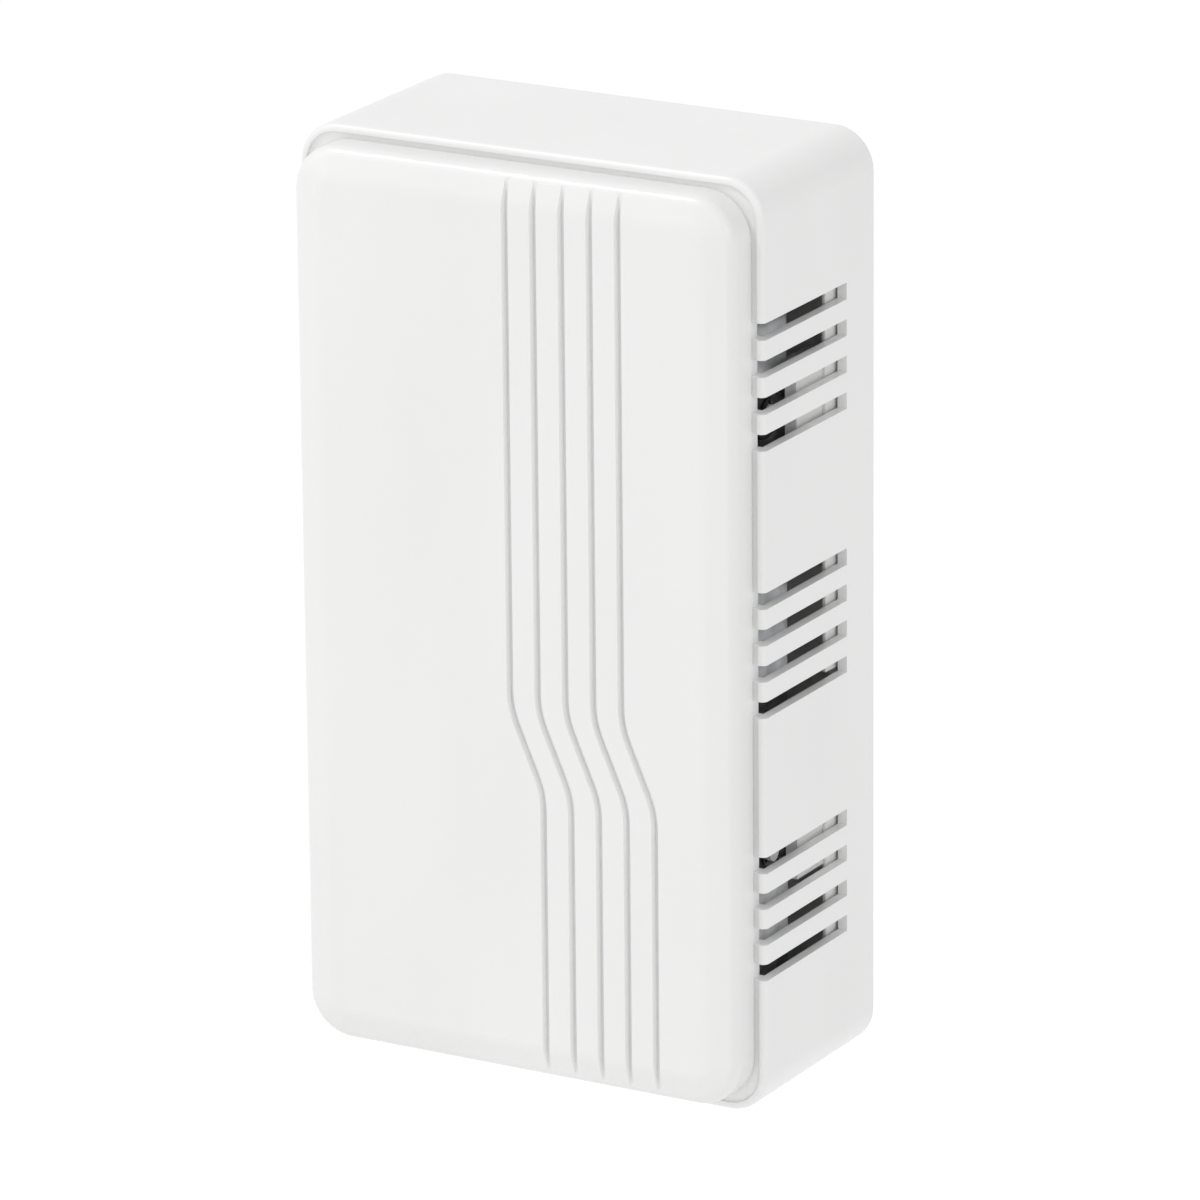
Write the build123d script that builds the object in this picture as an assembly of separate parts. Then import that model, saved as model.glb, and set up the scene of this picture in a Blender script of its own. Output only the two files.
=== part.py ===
from build123d import *
import math
import os

# Doorbell chime box: a wall-hung mechanical two-tone chime in a moulded case.
# X runs to the right, Y into the wall and Z up, in millimetres.
# The origin is the centre of the back face, which lies on the wall at Y = 0.
# A "depth" is a distance from the wall towards the room, so Y = -depth.

# Case
case_width = 98.0
case_height = 180.0
case_depth = 43.0
case_corner_radius = 8.0
cover_wall = 2.0
wall_gap = 0.4
overrun = 1.0

# Rim and ledge round the front of the cover
rim_width = 1.5
rim_fillet = 1.1
gutter_depth = 0.5
ledge_thickness = 2.5
ledge_frame_width = 15.5
window_corner_radius = 6.0

# Vents in both side walls, open through the rim
vent_groups = 3
vent_rows = 4
vent_height = 3.2
vent_pitch = 7.0
vent_group_pitch = 51.2
vent_reach = 3.0
vent_rear_depth = 11.0

# Front panel
panel_inset = 2.5
panel_proud = 8.0
panel_corner_radius = 9.0
panel_crown_width = 5.8
panel_crown_drop = 1.5
panel_crown_rounding = 10.0
panel_edge_rounding = 2.2
panel_foot_chamfer = 0.7
panel_wall = 2.2
panel_face = 2.6
panel_inner_chamfer = 2.2
panel_post_half_width = 2.2
panel_peg_radius = 1.4
panel_peg_clearance = 0.1
panel_peg_length = 3.4
panel_peg_window_gap = 4.0
panel_peg_end_gap = 28.0
panel_clip_half_width = 2.6
panel_clip_thickness = 0.5
clip_clearance = 0.03

# Grooves in the front panel
groove_count = 5
groove_pitch = 5.91
groove_first_x = -0.5
groove_jog_width = 6.9
groove_jog_height = 15.8
groove_jog_z = -22.9
groove_bend_radius = 16.6
groove_half_width = 0.7
groove_depth = 1.15
groove_floor_half_width = 0.35

# Base plate
base_clearance = 0.5
base_thickness = 2.2
base_corner_radius = 5.5
rib_inset = 0.9
rib_thickness = 1.4
rib_front_depth = 9.3
nub_length = 9.0
nub_height = 1.6
nub_clearance = 0.05
nub_x = 24.0
wall_hole_radius = 2.25
wall_hole_end_gap = 12.0
wall_pad_radius = 6.0
wall_pad_height = 1.6
countersink_radius = 4.4

# Tone plates, each hung where a free bar stands still
tone_plate_thickness = 2.0
plate_wall_gap = 5.0
plate_ledge_gap = 2.5
plate_base_gap = 19.3
tone_plate_corner = 3.0
low_plate_end_gap = 5.0
high_plate_end_gap = 11.0
still_point_share = 0.224
plate_hole_radius = 3.7
plate_hole_edge_gap = 7.0

# Cradles that carry the tone plates
cradle_arm_gap = 1.2
inner_arm_gap = 1.0
inner_arm_thickness = 2.6
inner_arm_half_width = 5.0
inner_arm_rounding = 4.0
inner_arm_past_peg = 5.2
outer_arm_half_width = 7.0
outer_arm_hole_gap = 6.1
gusset_thickness = 1.8
gusset_reach = 8.0
gusset_hole_gap = 4.3
peg_radius = 1.7
peg_past_clip = 0.8
grommet_flange_radius = 5.0
grommet_flange_thickness = 0.85
grommet_clearance = 0.02
push_clip_radius = 3.0
push_clip_thickness = 0.4
push_clip_gap = 0.03
push_clip_notches = 3
push_clip_notch_width = 0.8
push_clip_notch_reach = 0.9
guard_half_width = 11.0
guard_front_depth = 9.5

# Solenoid, lying across the case between the two plates
bobbin_flange_radius = 13.0
bobbin_flange_thickness = 1.5
bobbin_core_wall = 1.0
winding_radius = 11.4
winding_clearance = 0.05
tape_thickness = 0.5
guide_outer_radius = 5.15
guide_wall = 0.6
guide_clearance = 0.05
guide_past_yoke = 0.8
yoke_thickness = 1.5
yoke_half_width = 11.0
yoke_past_axis = 9.0
yoke_corner = 4.0
yoke_gap = 0.1
yoke_flange_gap = 0.3
yoke_bore_clearance = 0.15
ear_half_width = 6.0
ear_reach = 22.0
ear_corner = 3.0
ear_screw_z = 17.5
pedestal_radius = 4.2
pin_half_width = 0.4
pin_top_z = -10.0
pin_end_z = -16.5
pin_axis_offset = 5.0
pin_clearance = 0.02

# Plunger and its strikers
core_past_yoke = 3.65
core_inside_yoke = 0.85
core_running_clearance = 0.05
core_chamfer = 0.5
left_strike_gap = 3.5
right_strike_gap = 8.0
striker_stem_radius = 2.0
striker_head_radius = 2.8
striker_head_length = 3.9
striker_head_taper = 1.2
spigot_radius = 1.5
spigot_length = 6.0
spigot_clearance = 0.02
washer_radius = 7.2
washer_thickness = 0.6
washer_clearance = 0.05

# Return spring between the washer and the yoke
spring_wire_radius = 0.35
spring_mean_radius = 6.0
spring_length = 13.4
spring_turns = 5
spring_arcs_per_turn = 4
spring_end_gap = 0.05
spring_sides = 6
spring_samples = 300

# Terminal block
terminal_half_pitch = 6.6
block_half_width = 12.2
block_height = 14.0
block_entry_gap = 10.0
block_depth = 12.0
block_edge_fillet = 0.8
pocket_half_width = 3.3
pocket_half_height = 4.3
pocket_floor = 2.1
clamp_clearance = 0.15
clamp_depth = 7.0
wire_hole_radius = 1.9
clamp_bore_radius = 1.7
clamp_bore_offset = 3.3
terminal_screw_radius = 1.5
terminal_screw_clearance = 0.05
terminal_head_radius = 2.6
terminal_head_height = 1.8
slot_width = 0.7
slot_cut_depth = 0.8
block_pad_radius = 2.5
block_pad_height = 2.8
block_pad_clearance = 0.1

# Screws
screw_radius = 1.4
screw_clearance = 0.03
screw_head_radius = 2.7
screw_head_height = 1.7
screw_head_clearance = 0.2
screw_point_depth = 0.9

# Coil leads
lead_radius = 0.6
lead_seat_gap = 0.05
lead_sides = 6
lead_in_block = 3.2
lead_drop_share = 0.39
lead_turn_share = 0.7
lead_bend_share = 0.45

# Cable entry and its seal
entry_hole_gap = 16.0
entry_radius = 7.0
entry_recess_radius = 9.6
entry_recess_depth = 1.0
seal_clearance = 0.1
seal_flange_radius = 9.2
seal_bore_radius = 3.0
seal_nose_radius = 4.6
seal_nose_depth = 5.4
seal_front_flange = 1.0

# Places worked out from the sizes above
half_width = case_width / 2
half_height = case_height / 2
ledge_front = case_depth - gutter_depth
ledge_back = ledge_front - ledge_thickness
panel_width = case_width - 2 * panel_inset
panel_height = case_height - 2 * panel_inset
panel_front = case_depth + panel_proud
inner_half_width = half_width - cover_wall
inner_height = case_height - 2 * cover_wall
panel_peg_x = half_width - ledge_frame_width + panel_peg_window_gap
panel_peg_z = half_height - panel_peg_end_gap
base_half_width = inner_half_width - base_clearance
base_half_height = half_height - cover_wall - base_clearance
rib_outer_x = base_half_width - rib_inset
wall_hole_z = half_height - wall_hole_end_gap
tone_plate_outer_x = inner_half_width - plate_wall_gap
plate_inner_x = tone_plate_outer_x - tone_plate_thickness
tone_plate_front_depth = ledge_back - plate_ledge_gap
tone_plate_back_depth = base_thickness + plate_base_gap
tone_plate_width = tone_plate_front_depth - tone_plate_back_depth
low_plate_length = inner_height - 2 * low_plate_end_gap
high_plate_length = inner_height - 2 * high_plate_end_gap
axis_depth = (tone_plate_front_depth + tone_plate_back_depth) / 2
plate_hole_depth = tone_plate_front_depth - plate_hole_edge_gap
grommet_inner_x = plate_inner_x - grommet_flange_thickness
grommet_outer_x = tone_plate_outer_x + grommet_flange_thickness
inner_arm_x = plate_inner_x - inner_arm_gap
outer_arm_x = tone_plate_outer_x + cradle_arm_gap
outer_arm_front_depth = plate_hole_depth - outer_arm_hole_gap
gusset_front_depth = plate_hole_depth - gusset_hole_gap
left_tip_x = left_strike_gap - plate_inner_x
right_tip_x = plate_inner_x - right_strike_gap
washer_left_x = left_tip_x + striker_head_length
washer_right_x = washer_left_x + washer_thickness
yoke_outer_x = -washer_right_x - spring_length
yoke_inner_x = yoke_outer_x - yoke_thickness
bobbin_half_length = yoke_inner_x - yoke_gap
web_front = axis_depth - bobbin_flange_radius - yoke_flange_gap
web_back = web_front - yoke_thickness
core_radius = guide_outer_radius - guide_wall - core_running_clearance
core_left_x = -yoke_outer_x - core_past_yoke
core_right_x = yoke_outer_x - core_inside_yoke
block_front = base_thickness + block_depth
entry_z = entry_hole_gap - wall_hole_z
block_low_z = entry_z + block_entry_gap
block_top_z = block_low_z + block_height
block_z = block_low_z + block_height / 2
clamp_back = base_thickness + pocket_floor + clamp_clearance
clamp_front = clamp_back + clamp_depth
clamp_bore_depth = clamp_back + clamp_bore_offset
lead_depth = clamp_bore_depth - clamp_bore_radius + lead_radius + lead_seat_gap
sides = (-1, 1)


def slab(width, height, radius, back, front):
    """Rounded plate between two depths."""
    outline = Plane.XZ.offset(back) * RectangleRounded(width, height, radius)
    return extrude(outline, amount=front - back)


def block(low_x, high_x, back, front, low_z, high_z):
    """Straight block between its limits."""
    centre = Pos((low_x + high_x) / 2, -(back + front) / 2, (low_z + high_z) / 2)
    return centre * Box(high_x - low_x, front - back, high_z - low_z)


def depth_rod(x, z, radius, back, front):
    """Round bar that points out of the wall."""
    outline = Plane.XZ.offset(back) * Pos(x, z) * Circle(radius)
    return extrude(outline, amount=front - back)


def side_rod(radius, low_x, high_x, depth, z):
    """Round bar that lies across the case."""
    outline = Plane.YZ.offset(low_x) * Pos(-depth, z) * Circle(radius)
    return extrude(outline, amount=high_x - low_x)


def height_rod(x, depth, radius, low_z, high_z):
    """Round bar that stands upright."""
    outline = Plane.XY.offset(low_z) * Pos(x, -depth) * Circle(radius)
    return extrude(outline, amount=high_z - low_z)


def front_edges(solid):
    """Outline of the face nearest the room."""
    return solid.faces().sort_by(Axis.Y)[0].edges()


def panel_peg_places():
    """Centres of the four panel pegs."""
    return [(side * panel_peg_x, end * panel_peg_z) for side in sides for end in sides]


def hanger_heights(length):
    """Heights of the two still points of a tone plate."""
    height = length * (1 / 2 - still_point_share)
    return (-height, height)


def plate_hangers():
    """Side and height of each hanger: the low plate is left, the high plate right."""
    left = [(-1, z) for z in hanger_heights(low_plate_length)]
    right = [(1, z) for z in hanger_heights(high_plate_length)]
    return left + right


def mirrored_block(side, near_x, far_x, back, front, low_z, high_z):
    """Block on one side of the case, given by distances from the middle."""
    low_x, high_x = sorted((side * near_x, side * far_x))
    return block(low_x, high_x, back, front, low_z, high_z)


def mirrored_side_rod(side, radius, near_x, far_x, depth, z):
    """Cross bar on one side of the case, given by distances from the middle."""
    low_x, high_x = sorted((side * near_x, side * far_x))
    return side_rod(radius, low_x, high_x, depth, z)


# Cover


def vent_cutters():
    """Notches through the side walls and the rim."""
    cutters = []
    for side in sides:
        for group in range(vent_groups):
            group_z = (group - (vent_groups - 1) / 2) * vent_group_pitch
            for row in range(vent_rows):
                z = group_z + (row - (vent_rows - 1) / 2) * vent_pitch
                cutters.append(mirrored_block(
                    side, half_width - vent_reach, half_width + overrun,
                    vent_rear_depth, case_depth + overrun,
                    z - vent_height / 2, z + vent_height / 2))
    return cutters


def make_housing_cover():
    """Open-backed shell with a raised rim, a ledge for the panel and side vents."""
    shell = slab(case_width, case_height, case_corner_radius, wall_gap, case_depth)
    shell = fillet(front_edges(shell), rim_fillet)
    shell -= slab(case_width - 2 * cover_wall, case_height - 2 * cover_wall,
                  case_corner_radius - cover_wall, wall_gap - overrun, ledge_back)
    shell -= slab(case_width - 2 * rim_width, case_height - 2 * rim_width,
                  case_corner_radius - rim_width, ledge_front, case_depth + overrun)
    shell -= slab(case_width - 2 * ledge_frame_width, case_height - 2 * ledge_frame_width,
                  window_corner_radius, ledge_back - overrun, ledge_front + overrun)
    for x, z in panel_peg_places():
        shell -= depth_rod(x, z, panel_peg_radius + panel_peg_clearance,
                           ledge_back - overrun, ledge_front + overrun)
    return shell - vent_cutters()


def groove_cutter(x):
    """One groove: straight, stepped sideways between two bends, straight again."""
    jog_top = groove_jog_z + groove_jog_height / 2
    jog_bottom = groove_jog_z - groove_jog_height / 2
    reach = half_height + overrun
    path = FilletPolyline(
        (x, -panel_front, reach), (x, -panel_front, jog_top),
        (x + groove_jog_width, -panel_front, jog_bottom),
        (x + groove_jog_width, -panel_front, -reach), radius=groove_bend_radius)
    section = Polyline(
        (-groove_floor_half_width, -groove_depth), (-groove_half_width, 0),
        (-groove_half_width, overrun), (groove_half_width, overrun),
        (groove_half_width, 0), (groove_floor_half_width, -groove_depth), close=True)
    start = Plane(origin=(x, -panel_front, reach), x_dir=(1, 0, 0), z_dir=(0, 0, -1))
    face = start * make_face(section)
    return sweep(face, path=path)


def make_panel_pillow():
    """Solid outside of the panel: straight sides, a sloping crown and a flat middle."""
    crown_depth = panel_front - panel_crown_drop
    pillow = slab(panel_width, panel_height, panel_corner_radius, ledge_front, crown_depth)
    pillow = chamfer(pillow.faces().sort_by(Axis.Y)[-1].edges(), panel_foot_chamfer)
    side_outline = Plane.XZ.offset(crown_depth) * RectangleRounded(
        panel_width, panel_height, panel_corner_radius)
    middle_outline = Plane.XZ.offset(panel_front) * RectangleRounded(
        panel_width - 2 * panel_crown_width, panel_height - 2 * panel_crown_width,
        panel_corner_radius - panel_crown_width)
    pillow += loft([side_outline, middle_outline], ruled=True)
    middle_edges, slopes, side_edges = pillow.edges().group_by(Axis.Y)[:3]
    pillow = fillet(side_edges, panel_edge_rounding)
    return fillet(front_edges(pillow), panel_crown_rounding)


def make_front_panel():
    """Pillow panel: a hollow shell with a crowned front, five grooves and four pegs."""
    panel = make_panel_pillow()
    hollow = slab(panel_width - 2 * panel_wall, panel_height - 2 * panel_wall,
                  panel_corner_radius - panel_wall, ledge_front, panel_front - panel_face)
    hollow = chamfer(front_edges(hollow), panel_inner_chamfer)
    panel -= hollow
    for x, z in panel_peg_places():
        panel += block(x - panel_post_half_width, x + panel_post_half_width,
                       ledge_front, panel_front - panel_face,
                       z - panel_post_half_width, z + panel_post_half_width)
        panel += depth_rod(x, z, panel_peg_radius, ledge_front - panel_peg_length, ledge_front)
    for number in range(groove_count):
        panel -= groove_cutter(groove_first_x + number * groove_pitch)
    return panel


def make_panel_clips():
    """Square push-on clips that hold the panel's pegs behind the ledge."""
    clips = []
    for x, z in panel_peg_places():
        back = ledge_back - clip_clearance - panel_clip_thickness
        plate = block(x - panel_clip_half_width, x + panel_clip_half_width,
                      back, ledge_back - clip_clearance,
                      z - panel_clip_half_width, z + panel_clip_half_width)
        clips.append(plate - depth_rod(x, z, panel_peg_radius + clip_clearance,
                                       back - overrun, ledge_back + overrun))
    return clips


# Base


def perimeter_rib():
    """Upright rib just inside the edge of the base plate."""
    outer = slab(2 * rib_outer_x, 2 * (base_half_height - rib_inset),
                 base_corner_radius - rib_inset, base_thickness, rib_front_depth)
    inner_radius = base_corner_radius - rib_inset - rib_thickness
    return outer - slab(2 * (rib_outer_x - rib_thickness),
                        2 * (base_half_height - rib_inset - rib_thickness),
                        inner_radius, base_thickness - overrun, rib_front_depth + overrun)


def cradle(side, z):
    """Inner arm with its peg and gusset, and the short outer arm, for one hanger."""
    arm_back_x = inner_arm_x - inner_arm_thickness
    arm = mirrored_block(side, arm_back_x, inner_arm_x, base_thickness,
                         plate_hole_depth + inner_arm_past_peg,
                         z - inner_arm_half_width, z + inner_arm_half_width)
    corners = arm.edges().filter_by(Axis.X).group_by(Axis.Y)[0]
    arm = fillet(corners, inner_arm_rounding)
    tip_x = grommet_outer_x + push_clip_gap + push_clip_thickness + peg_past_clip
    arm += mirrored_side_rod(side, peg_radius, inner_arm_x, tip_x, plate_hole_depth, z)
    gusset_plane = Plane.XY.offset(z - gusset_thickness / 2)
    gusset = gusset_plane * make_face(Polyline(
        (side * arm_back_x, -base_thickness), (side * (arm_back_x - gusset_reach), -base_thickness),
        (side * arm_back_x, -gusset_front_depth), close=True))
    arm += extrude(gusset, amount=gusset_thickness)
    arm += mirrored_block(side, outer_arm_x, rib_outer_x, base_thickness, outer_arm_front_depth,
                          z - outer_arm_half_width, z + outer_arm_half_width)
    return arm


def pilot_hole(x, z, front):
    """Blind hole for a self-tapping screw."""
    return depth_rod(x, z, screw_radius + screw_clearance, screw_point_depth, front + overrun)


def make_base_plate():
    """Moulded base: plate, rib, tone-plate cradles, pedestals, screw pads and cable entry."""
    base = slab(2 * base_half_width, 2 * base_half_height, base_corner_radius, 0, base_thickness)
    base += perimeter_rib()
    for side, z in plate_hangers():
        base += cradle(side, z)
    for side in sides:
        base += mirrored_block(side, outer_arm_x, rib_outer_x, base_thickness,
                               guard_front_depth, -guard_half_width, guard_half_width)
        pedestal_z = side * ear_screw_z
        base += depth_rod(0, pedestal_z, pedestal_radius, base_thickness, web_back)
        base -= pilot_hole(0, pedestal_z, web_back)
        for nub_side in sides:
            middle = nub_side * nub_x
            reach = base_half_height + base_clearance - nub_clearance
            low_z, high_z = sorted((side * (base_half_height - overrun), side * reach))
            base += block(middle - nub_length / 2, middle + nub_length / 2,
                          base_thickness - nub_height, base_thickness, low_z, high_z)
    base += depth_rod(0, block_z, block_pad_radius, base_thickness,
                      base_thickness + block_pad_height)
    base -= pilot_hole(0, block_z, base_thickness + block_pad_height)
    for z in (-wall_hole_z, wall_hole_z):
        pad_front = base_thickness + wall_pad_height
        base += depth_rod(0, z, wall_pad_radius, base_thickness, pad_front)
        base -= depth_rod(0, z, wall_hole_radius, -overrun, pad_front + overrun)
        sink = Cone(bottom_radius=wall_hole_radius, top_radius=countersink_radius,
                    height=countersink_radius - wall_hole_radius,
                    align=(Align.CENTER, Align.CENTER, Align.MAX))
        base -= Plane.XZ.offset(pad_front) * Pos(0, z) * sink
    base -= depth_rod(0, entry_z, entry_radius, -overrun, base_thickness + overrun)
    return base - depth_rod(0, entry_z, entry_recess_radius, -overrun, entry_recess_depth)


def make_cable_seal():
    """Rubber seal in the cable entry: two flanges, a neck and a nose with the cable bore."""
    seal = depth_rod(0, entry_z, seal_flange_radius, seal_clearance, entry_recess_depth)
    seal += depth_rod(0, entry_z, entry_radius - seal_clearance, entry_recess_depth, base_thickness)
    front_flange = depth_rod(0, entry_z, seal_flange_radius, base_thickness,
                             base_thickness + seal_front_flange)
    seal += chamfer(front_edges(front_flange), seal_front_flange / 2)
    seal += depth_rod(0, entry_z, seal_nose_radius, base_thickness, seal_nose_depth)
    return seal - depth_rod(0, entry_z, seal_bore_radius, -overrun, seal_nose_depth + overrun)


# Tone plates and their hangers


def make_tone_plate(side, length):
    """Steel bar standing on edge along one side wall, with two hanger holes."""
    low_x = min(side * plate_inner_x, side * tone_plate_outer_x)
    outline = Plane.YZ.offset(low_x) * Pos(-axis_depth, 0) * RectangleRounded(
        tone_plate_width, length, tone_plate_corner)
    plate = extrude(outline, amount=tone_plate_thickness)
    for z in hanger_heights(length):
        plate -= mirrored_side_rod(side, plate_hole_radius, plate_inner_x - overrun,
                                   tone_plate_outer_x + overrun, plate_hole_depth, z)
    return plate


def make_grommet(side, z):
    """Rubber ring that sits in a plate's hole and keeps the plate off its peg."""
    flange_gap = grommet_clearance
    grommet = mirrored_side_rod(side, plate_hole_radius - grommet_clearance,
                                grommet_inner_x, grommet_outer_x, plate_hole_depth, z)
    grommet += mirrored_side_rod(side, grommet_flange_radius, grommet_inner_x,
                                 plate_inner_x - flange_gap, plate_hole_depth, z)
    grommet += mirrored_side_rod(side, grommet_flange_radius, tone_plate_outer_x + flange_gap,
                                 grommet_outer_x, plate_hole_depth, z)
    return grommet - mirrored_side_rod(side, peg_radius + grommet_clearance,
                                       grommet_inner_x - overrun, grommet_outer_x + overrun,
                                       plate_hole_depth, z)


def make_peg_clips():
    """Toothed push-on clips on the ends of the four pegs."""
    clips = []
    near_x = grommet_outer_x + push_clip_gap
    far_x = near_x + push_clip_thickness
    for side, z in plate_hangers():
        clip = mirrored_side_rod(side, push_clip_radius, near_x, far_x, plate_hole_depth, z)
        clip -= mirrored_side_rod(side, peg_radius + push_clip_gap, near_x - overrun,
                                  far_x + overrun, plate_hole_depth, z)
        reach = peg_radius + push_clip_notch_reach
        notch = Box(2 * far_x, push_clip_notch_width, reach,
                    align=(Align.CENTER, Align.CENTER, Align.MIN))
        for number in range(push_clip_notches):
            turn = 360 * number / push_clip_notches
            clip -= Pos(side * far_x, -plate_hole_depth, z) * Rot(turn, 0, 0) * notch
        clips.append(clip)
    return clips


# Solenoid


def make_coil_bobbin():
    """Moulded spool with two flanges; a hole in each flange takes a solder pin."""
    bore_radius = guide_outer_radius + guide_clearance
    spool = side_rod(bore_radius + bobbin_core_wall, -bobbin_half_length, bobbin_half_length,
                     axis_depth, 0)
    for side in sides:
        spool += mirrored_side_rod(side, bobbin_flange_radius,
                                   bobbin_half_length - bobbin_flange_thickness,
                                   bobbin_half_length, axis_depth, 0)
    spool -= side_rod(bore_radius, -bobbin_half_length - overrun, bobbin_half_length + overrun,
                      axis_depth, 0)
    for side in sides:
        spool -= solder_pin(side, pin_half_width + pin_clearance, -bobbin_flange_radius)
    return spool


def pin_x():
    """Distance of a solder pin from the middle, half way through its flange."""
    return bobbin_half_length - bobbin_flange_thickness / 2


def pin_depth():
    """Depth of the solder pins, on the wall side of the axis."""
    return axis_depth - pin_axis_offset


def solder_pin(side, half_width, low_z):
    """Square pin that hangs in a flange of the bobbin."""
    x = side * pin_x()
    return block(x - half_width, x + half_width, pin_depth() - half_width,
                 pin_depth() + half_width, low_z, pin_top_z)


def make_coil_pins():
    """Two brass pins that carry the winding's ends."""
    return [solder_pin(side, pin_half_width, pin_end_z) for side in sides]


def coil_layer(inner_radius, outer_radius):
    """Ring round the bobbin, between its flanges."""
    half = bobbin_half_length - bobbin_flange_thickness - winding_clearance
    ring = side_rod(outer_radius, -half, half, axis_depth, 0)
    return ring - side_rod(inner_radius, -half - overrun, half + overrun, axis_depth, 0)


def make_coil_winding():
    """The wound copper wire as one body."""
    inner = guide_outer_radius + guide_clearance + bobbin_core_wall + winding_clearance
    return coil_layer(inner, winding_radius)


def make_coil_tape():
    """Insulating tape round the winding."""
    inner = winding_radius + winding_clearance
    return coil_layer(inner, inner + tape_thickness)


def make_guide_tube():
    """Brass tube that the plunger runs in."""
    reach = yoke_outer_x + guide_past_yoke
    tube = side_rod(guide_outer_radius, -reach, reach, axis_depth, 0)
    return tube - side_rod(guide_outer_radius - guide_wall, -reach - overrun, reach + overrun,
                           axis_depth, 0)


def make_solenoid_yoke():
    """Bent steel frame: a web with two screw ears and an arm at each end of the coil."""
    web = slab(2 * yoke_outer_x, 2 * yoke_half_width, ear_corner, web_back, web_front)
    web += slab(2 * ear_half_width, 2 * ear_reach, ear_corner, web_back, web_front)
    for side in sides:
        arm = mirrored_block(side, yoke_inner_x, yoke_outer_x, web_back,
                             axis_depth + yoke_past_axis, -yoke_half_width, yoke_half_width)
        arm = fillet(arm.edges().filter_by(Axis.X).group_by(Axis.Y)[0], yoke_corner)
        web += arm
        web -= mirrored_side_rod(side, guide_outer_radius + yoke_bore_clearance,
                                 yoke_inner_x - overrun, yoke_outer_x + overrun, axis_depth, 0)
        web -= depth_rod(0, side * ear_screw_z, screw_radius + screw_head_clearance,
                         web_back - overrun, web_front + overrun)
    return web


def pan_screw(x, z, seat, point):
    """Pan-head screw with a cross slot: head on its seat, shank towards the wall."""
    head = depth_rod(x, z, screw_head_radius, seat, seat + screw_head_height)
    head = chamfer(front_edges(head), screw_head_height / 3)
    screw = head + depth_rod(x, z, screw_radius, point, seat)
    reach = screw_head_radius - slot_width
    cut_back = seat + screw_head_height - slot_cut_depth
    cut_front = seat + screw_head_height + overrun
    screw -= block(x - reach, x + reach, cut_back, cut_front, z - slot_width / 2, z + slot_width / 2)
    screw -= block(x - slot_width / 2, x + slot_width / 2, cut_back, cut_front, z - reach, z + reach)
    return screw


def make_yoke_screws():
    """Two screws that hold the yoke on the base's pedestals."""
    point = screw_point_depth + overrun
    return [pan_screw(0, side * ear_screw_z, web_front, point) for side in sides]


# Plunger


def make_plunger_core():
    """Steel core, bored at both ends for the strikers."""
    core = side_rod(core_radius, core_left_x, core_right_x, axis_depth, 0)
    core = chamfer(core.edges().filter_by(GeomType.CIRCLE), core_chamfer)
    bore = spigot_radius + spigot_clearance
    core -= side_rod(bore, core_left_x - overrun, core_left_x + spigot_length, axis_depth, 0)
    return core - side_rod(bore, core_right_x - spigot_length, core_right_x + overrun,
                           axis_depth, 0)


def make_striker(side, core_end, tip):
    """Nylon striker: spigot in the core, stem, and a tapered head that meets a plate."""
    spigot_end = core_end - side * (spigot_length - spigot_clearance)
    head_start = tip - side * striker_head_length
    head_limits = sorted((head_start, tip))
    head = side_rod(striker_head_radius, *head_limits, axis_depth, 0)
    rims = head.edges().filter_by(GeomType.CIRCLE).sort_by(Axis.X)
    head = chamfer(rims[-1] if side > 0 else rims[0], striker_head_taper)
    stem = side_rod(striker_stem_radius, *sorted((core_end, head_start)), axis_depth, 0)
    spigot = side_rod(spigot_radius, *sorted((spigot_end, core_end)), axis_depth, 0)
    return head + stem + spigot


def make_spring_washer():
    """Washer behind the left striker's head, which the spring pushes on."""
    washer = side_rod(washer_radius, washer_left_x, washer_right_x, axis_depth, 0)
    return washer - side_rod(striker_stem_radius + washer_clearance, washer_left_x - overrun,
                             washer_right_x + overrun, axis_depth, 0)


def spring_point(turn, start_x, pitch):
    """Point on the middle of the spring's wire, after so many turns."""
    angle = 2 * math.pi * turn
    return Vector(start_x + pitch * turn,
                  spring_mean_radius * math.cos(angle) - axis_depth,
                  spring_mean_radius * math.sin(angle))


def spring_direction(turn, pitch):
    """Direction of the wire after so many turns."""
    angle = 2 * math.pi * turn
    round_turn = 2 * math.pi * spring_mean_radius
    return Vector(pitch, -round_turn * math.sin(angle), round_turn * math.cos(angle)).normalized()


def biarc(start, start_direction, end, end_direction):
    """Two arcs that meet smoothly between two points with given directions."""
    across = end - start
    both = start_direction + end_direction
    bend = 1 - start_direction.dot(end_direction)
    along = across.dot(both)
    reach = (math.sqrt(along ** 2 + 2 * bend * across.dot(across)) - along) / (2 * bend)
    start_corner = start + start_direction * reach
    end_corner = end - end_direction * reach
    middle = (start_corner + end_corner) / 2
    return [TangentArc(start, middle, tangent=start_direction),
            TangentArc(middle, end, tangent=end_corner - start_corner)]


def least_gap(points, spacing_points):
    """Least gap between the wire's turns, measured on points along it."""
    gaps = [(points[first] - points[second]).length
            for first in range(len(points))
            for second in range(first + spacing_points, len(points))]
    return min(gaps) - 2 * spring_wire_radius


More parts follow.
